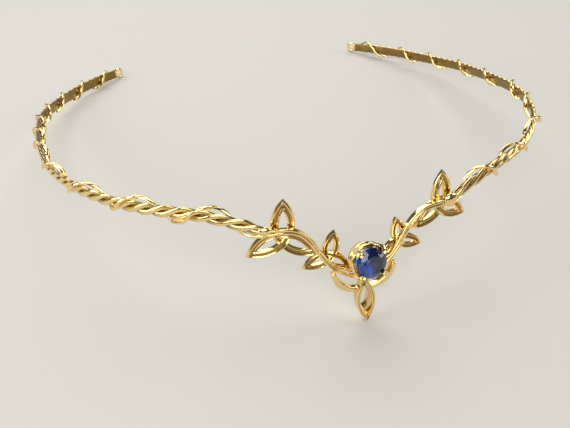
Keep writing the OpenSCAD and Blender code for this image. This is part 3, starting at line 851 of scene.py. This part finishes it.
stoneCut = {
    "radius": 4.0, "table": 0.57, "crown": 1.3, "girdle": 0.08, "pavilion": 3.2, "mains": 8,
    "starReach": 3.08, "lowerHalf": 0.88,
    # painted flashes: how they change from facet to facet, their least share and fall to the right
    "flashStep": 2.4, "flashLeast": 0.4, "flashFall": 0.45,
}
holderPlace = (Matrix.Translation((0, 0, holder["height"])) @ turned(holder["turn"], "Z")
               @ turned(90 - holder["tilt"], "X"))
leafPlace = (Matrix.Translation((0, -leafDrop["front"], leafDrop["top"])) @ turned(90, "X")
             @ turned(leafDrop["lean"], "Z"))


def arcPoints(x, y, r, begin, end, count):
    return [(x + r*cos(w), y + r*sin(w))
            for w in (radians(begin + (end - begin)*u) for u in steps(count))]


# The cup under the stone: a wall with a bead low down, and two beads round its mouth
def makeCollet(name):
    profile = []
    for row in holder["outline"]:
        profile += arcPoints(*row) if len(row) > 2 else [row]
    mesh = skin(name, latheRings(profile, holder["steps"]), loop=True)
    mesh.transform(toRow @ holderPlace)
    return coated(finishPiece(name, mesh, 50), settingGold)


# Section of a bar with two ridges along its front
def ridgedBar(width, thickness):
    w, t, soft = width/2, thickness/2, claw["soft"]
    side = [(w, -t + soft)] + [(w*share, t + rise) for share, rise in claw["ridges"]]
    return side + [(0, t + claw["groove"])] + [(-x, y) for x, y in reversed(side)] + [
        (-w + soft, -t), (w - soft, -t)]


# Rings of a section along a path in the plane of x and z. The section's x runs along y
def barRings(path, sections):
    rings = []
    for i, (r, z) in enumerate(path):
        a, b = path[max(i - 1, 0)], path[min(i + 1, len(path) - 1)]
        run = Vector((b[0] - a[0], b[1] - a[1])).normalized()
        rings.append([Vector((r + run.y*q, p, z - run.x*q)) for p, q in sections[i]])
    return rings


# Claws: double-ridged bars that stand outside the rail and bend over the girdle
def makeClaws(name):
    look, path, sections = claw, [], []
    for u in steps(look["steps"]):
        r, z, share = along(look["path"], u*(len(look["path"]) - 1))
        path.append((r, z))
        end = max((u - look["roundFrom"])/(1 - look["roundFrom"]), 0)
        close = sqrt(max(1 - end**2, look["roundEnd"]**2))
        full = ridgedBar(look["width"]*share, look["thickness"]*(1 + look["gain"]*(1 - share)))
        sections.append([(x*close, y*close) for x, y in full])
    mesh = skin(name, barRings(path, sections))
    return runTree(name, mesh, repeatRound, {
        "Count": look["count"], "First": radians(look["first"]), "Material": settingGold},
        place=toRow @ holderPlace, sharp=38)


# Pointed oval: two arcs with the same section
def makeLeaf(name, length, look, depth, place):
    halfWidth = look["halfWidth"]
    r = (length*length/4 + halfWidth*halfWidth)/(2*halfWidth)
    centre = r - halfWidth
    r -= look["rim"]/2
    section = rimSection(look["rim"], depth)
    arc = pointedArc(r, centre, acos(centre/r), 0, leafDrop["steps"], lambda a: section)
    mesh = skin(name, arc, caps=False, recess=leafDrop["shade"])
    upright = Matrix.Translation((0, -length/2, 0)) @ turned(90, "Z")
    piece = runTree(name, mesh, repeatRound, {"Count": 2, "First": 0.0, "Material": settingGold},
                    place=toRow @ leafPlace @ place @ upright, sharp=35)
    faceOut(piece.data)
    return piece


# Section of a leaf's rim, with two rounded ridges along its front
def rimSection(width, depth):
    w, bead, soft = width/2, width/4, leafDrop["soft"]
    high = bead*leafDrop["ridge"]
    front = [(x + bead*cos(a), -high + high*sin(a)) for x in (bead, -bead)
             for a in (radians(v) for v in (0, 40, 90, 140, 180))]
    del front[5]   # the ridges share the point between them
    return front + [(-w, -depth + soft), (-w + soft, -depth), (w - soft, -depth),
                    (w, -depth + soft)]


# Tapered round bar between two points, with the radii at its ends
def taperedRod(a, b, radii, count=14, rows=6):
    a, b = Vector(a), Vector(b)
    way = (b - a).normalized()
    side = way.cross(Vector((0, 0, 1))).normalized()
    up = way.cross(side)
    rings = []
    for u in steps(rows):
        r = radii[0] + (radii[1] - radii[0])*u
        rings.append([a + (b - a)*u + side*r*cos(w) + up*r*sin(w) for w in turns(count)])
    return rings


def leafPiece(name, rings, sharp=50):
    mesh = skin(name, rings)
    mesh.transform(toRow @ leafPlace)
    return coated(finishPiece(name, mesh, sharp), settingGold)


def makeLeafParts():
    look, inner, stem = leafDrop, leafDrop["inner"], leafDrop["stem"]
    length = (look["top"] - look["tip"])/cos(radians(look["lean"]))
    innerPlace = Matrix.Translation(inner["at"]) @ turned(inner["lean"], "Z")
    made = [makeLeaf("leafRim", length, look, look["depth"], Matrix.Identity(4)),
            makeLeaf("innerLeaf", inner["length"], inner, inner["depth"], innerPlace)]
    top = innerPlace @ Vector((0, stem["top"][0] - inner["length"], stem["top"][1]))
    foot = (0, stem["foot"][0] - length, stem["foot"][1])
    made.append(leafPiece("leafStem", taperedRod(top, foot, stem["radii"])))
    place = Vector((0, -length, -look["depth"]/2))
    made.append(leafPiece("leafBall", [[place + p*look["ball"] for p in ring] for ring in
                                       ballRings(look["ballRows"], look["ballSides"])], 80))
    for name, top, foot, radii, count in look["rods"]:
        made.append(leafPiece(name, taperedRod(top, foot, radii, count)))
    return made


# The two crescents behind the leaf, each from the leaf's side up to a knob
def makeBackLoop(name, side):
    look, rings = backLoop, []
    middle = Vector((look["middle"][0], -look["front"], look["middle"][1]))
    for u in steps(look["steps"]):
        a = radians(look["from"] + (look["to"] - look["from"])*u)
        box = roundedBox(smooth(look["widths"], u)[1], look["depth"], look["corner"])
        out = Vector((cos(a), 0, sin(a)))
        rings.append([middle + out*(look["radius"] + x) + Vector((0, y, 0)) for x, y in box])
    end = rings[-1]
    centre = sum(end, Vector())/len(end)
    last = radians(look["to"])
    run = Vector((-sin(last), 0, cos(last)))
    for k in range(1, look["knobSteps"]):
        w = pi/2*k/look["knobSteps"]
        rings.append([centre + (p - centre)*cos(w) + run*look["knob"]*sin(w) for p in end])
    mesh = skin(name, rings)
    mesh.transform(toRow @ Matrix.Scale(side, 4, (1, 0, 0)))
    return coated(finishPiece(name, faceOut(mesh), 60), settingGold)


# Round brilliant: table, kites, stars, halves over and under the girdle, pavilion mains
def makeStone(name):
    cut, n = stoneCut, stoneCut["mains"]
    r, table = cut["radius"], cut["radius"]*cut["table"]
    half, reach, low = pi/n, cut["starReach"], cut["lowerHalf"]
    fall = (cut["crown"] - cut["girdle"])/(r - table)
    rise = (cut["pavilion"] - cut["girdle"])/r

    def ring(radius, z, count, shift):
        return [Vector((radius*cos(a + shift), radius*sin(a + shift), z)) for a in turns(count)]

    points = ring(table, cut["crown"], n, 0)
    points += ring(reach, cut["crown"] - fall*(reach*cos(half) - table), n, half)
    points += ring(r, cut["girdle"], 2*n, 0) + ring(r, -cut["girdle"], 2*n, 0)
    points += ring(low, -cut["pavilion"] + rise*low*cos(half), n, half)
    points.append(Vector((0, 0, -cut["pavilion"])))
    star, girdle, under, lower, tip = n, 2*n, 4*n, 6*n, 7*n   # where each row of points begins
    faces = [tuple(range(n))]
    for j in range(n):
        before, here, mid, after = (j - 1) % n, 2*j, 2*j + 1, (2*j + 2) % (2*n)
        faces += [(j, star + j, (j + 1) % n),
                  (j, star + before, girdle + here, star + j),
                  (star + j, girdle + here, girdle + mid),
                  (star + j, girdle + mid, girdle + after),
                  (lower + j, under + mid, under + here),
                  (lower + j, under + after, under + mid),
                  (tip, lower + j, under + here, lower + before)]
    faces += [(girdle + j, under + j, under + (j + 1) % (2*n), girdle + (j + 1) % (2*n))
              for j in range(2*n)]
    mesh = bpy.data.meshes.new(name)
    mesh.from_pydata(points, [], faces)
    faceOut(mesh)
    for material in (stoneBlue, stonePaintedFlash):
        mesh.materials.append(material)
    flash = mesh.attributes.new("flash", "FLOAT", "FACE")
    for face in mesh.polygons:
        face.material_index = int(face.center.z < -2*cut["girdle"])   # painted flashes under the girdle
        # painted flash: varies from facet to facet and grows brighter to the left
        spread = 0.5 - 0.5*cos(face.index*cut["flashStep"])
        left = min(max(0.5 - face.center.x*cut["flashFall"], 0), 1)
        least = cut["flashLeast"]
        flash.data[face.index].value = (least + (1 - least)*spread)*left
    mesh.transform(toRow @ holderPlace @ Matrix.Translation((0, 0, holder["girdle"])))
    piece = finishPiece(name, mesh, 1)
    piece.data.shade_flat()
    return piece


for piece in [makeCollet("collet"), makeClaws("claws"), *makeLeafParts(),
              *(makeBackLoop(word + "BackLoop", side) for word, side in sides.items())]:
    placePiece(piece, "setting")
placePiece(makeStone("cutStone"), "stone")
print("setting and stone ready")

# Floor, light and camera
studio = {
    "floor": "#C4C0B8", "floorSize": 6, "floorRoughness": 0.85,   # floor and lights in metres
    "sky": "#F4F6FA", "skyStrength": 0.12, "look": "Standard",
    "lights": {   # place, size and power
        "back": ((0.0, 0.38, 0.55), 0.8, 4.3),
        "left": ((-0.6, -0.1, 0.3), 0.5, 2.2),
        "right": ((0.6, -0.1, 0.35), 0.45, 1.5),
        "front": ((-0.2, -0.6, 0.5), 0.65, 3.6),
    },
}
camera = {"at": (-43.1, -163.3, 112.0), "pitch": 39.70, "yaw": 14.96, "sensor": 36, "clip": 5,
          "focal": 550, "frame": 570}   # the last two in the photo's pixels


def makeFloor():
    half = studio["floorSize"]/2
    mesh = bpy.data.meshes.new("floor")
    mesh.from_pydata([(-half, -half, 0), (half, -half, 0), (half, half, 0), (-half, half, 0)], [],
                     [(0, 1, 2, 3)])
    paper = newMaterial("paleMattePaper", {"Base Color": linear(studio["floor"]),
                                           "Roughness": studio["floorRoughness"]})[0]
    mesh.materials.append(paper)
    addObject("floor", mesh)


def makeLights():
    world = bpy.data.worlds.new("softStudio")
    bpy.context.scene.world = world
    world.use_nodes = True
    back = world.node_tree.nodes["Background"]
    back.inputs["Color"].default_value = linear(studio["sky"])
    back.inputs["Strength"].default_value = studio["skyStrength"]
    for name, (at, size, power) in studio["lights"].items():
        light = bpy.data.lights.new(name, "AREA")
        light.shape = "DISK"
        light.size = size
        light.energy = power
        lamp = addObject(name, light)
        lamp.location = at
        lamp.rotation_euler = (-Vector(at)).to_track_quat("-Z", "Y").to_euler()


def makeCamera():
    lens = bpy.data.cameras.new("photoCamera")
    lens.sensor_width = camera["sensor"]
    lens.lens = camera["focal"]/camera["frame"]*camera["sensor"]
    lens.clip_start = camera["clip"]*mm
    view = addObject("photoCamera", lens)
    yaw, pitch = radians(camera["yaw"]), radians(camera["pitch"])
    look = Vector((sin(yaw)*cos(pitch), cos(yaw)*cos(pitch), -sin(pitch)))
    view.location = Vector(camera["at"])*mm
    view.rotation_euler = look.to_track_quat("-Z", "Y").to_euler()
    bpy.context.scene.camera = view


makeFloor()
makeLights()
makeCamera()
bpy.context.scene.view_settings.view_transform = studio["look"]
print("studio ready")
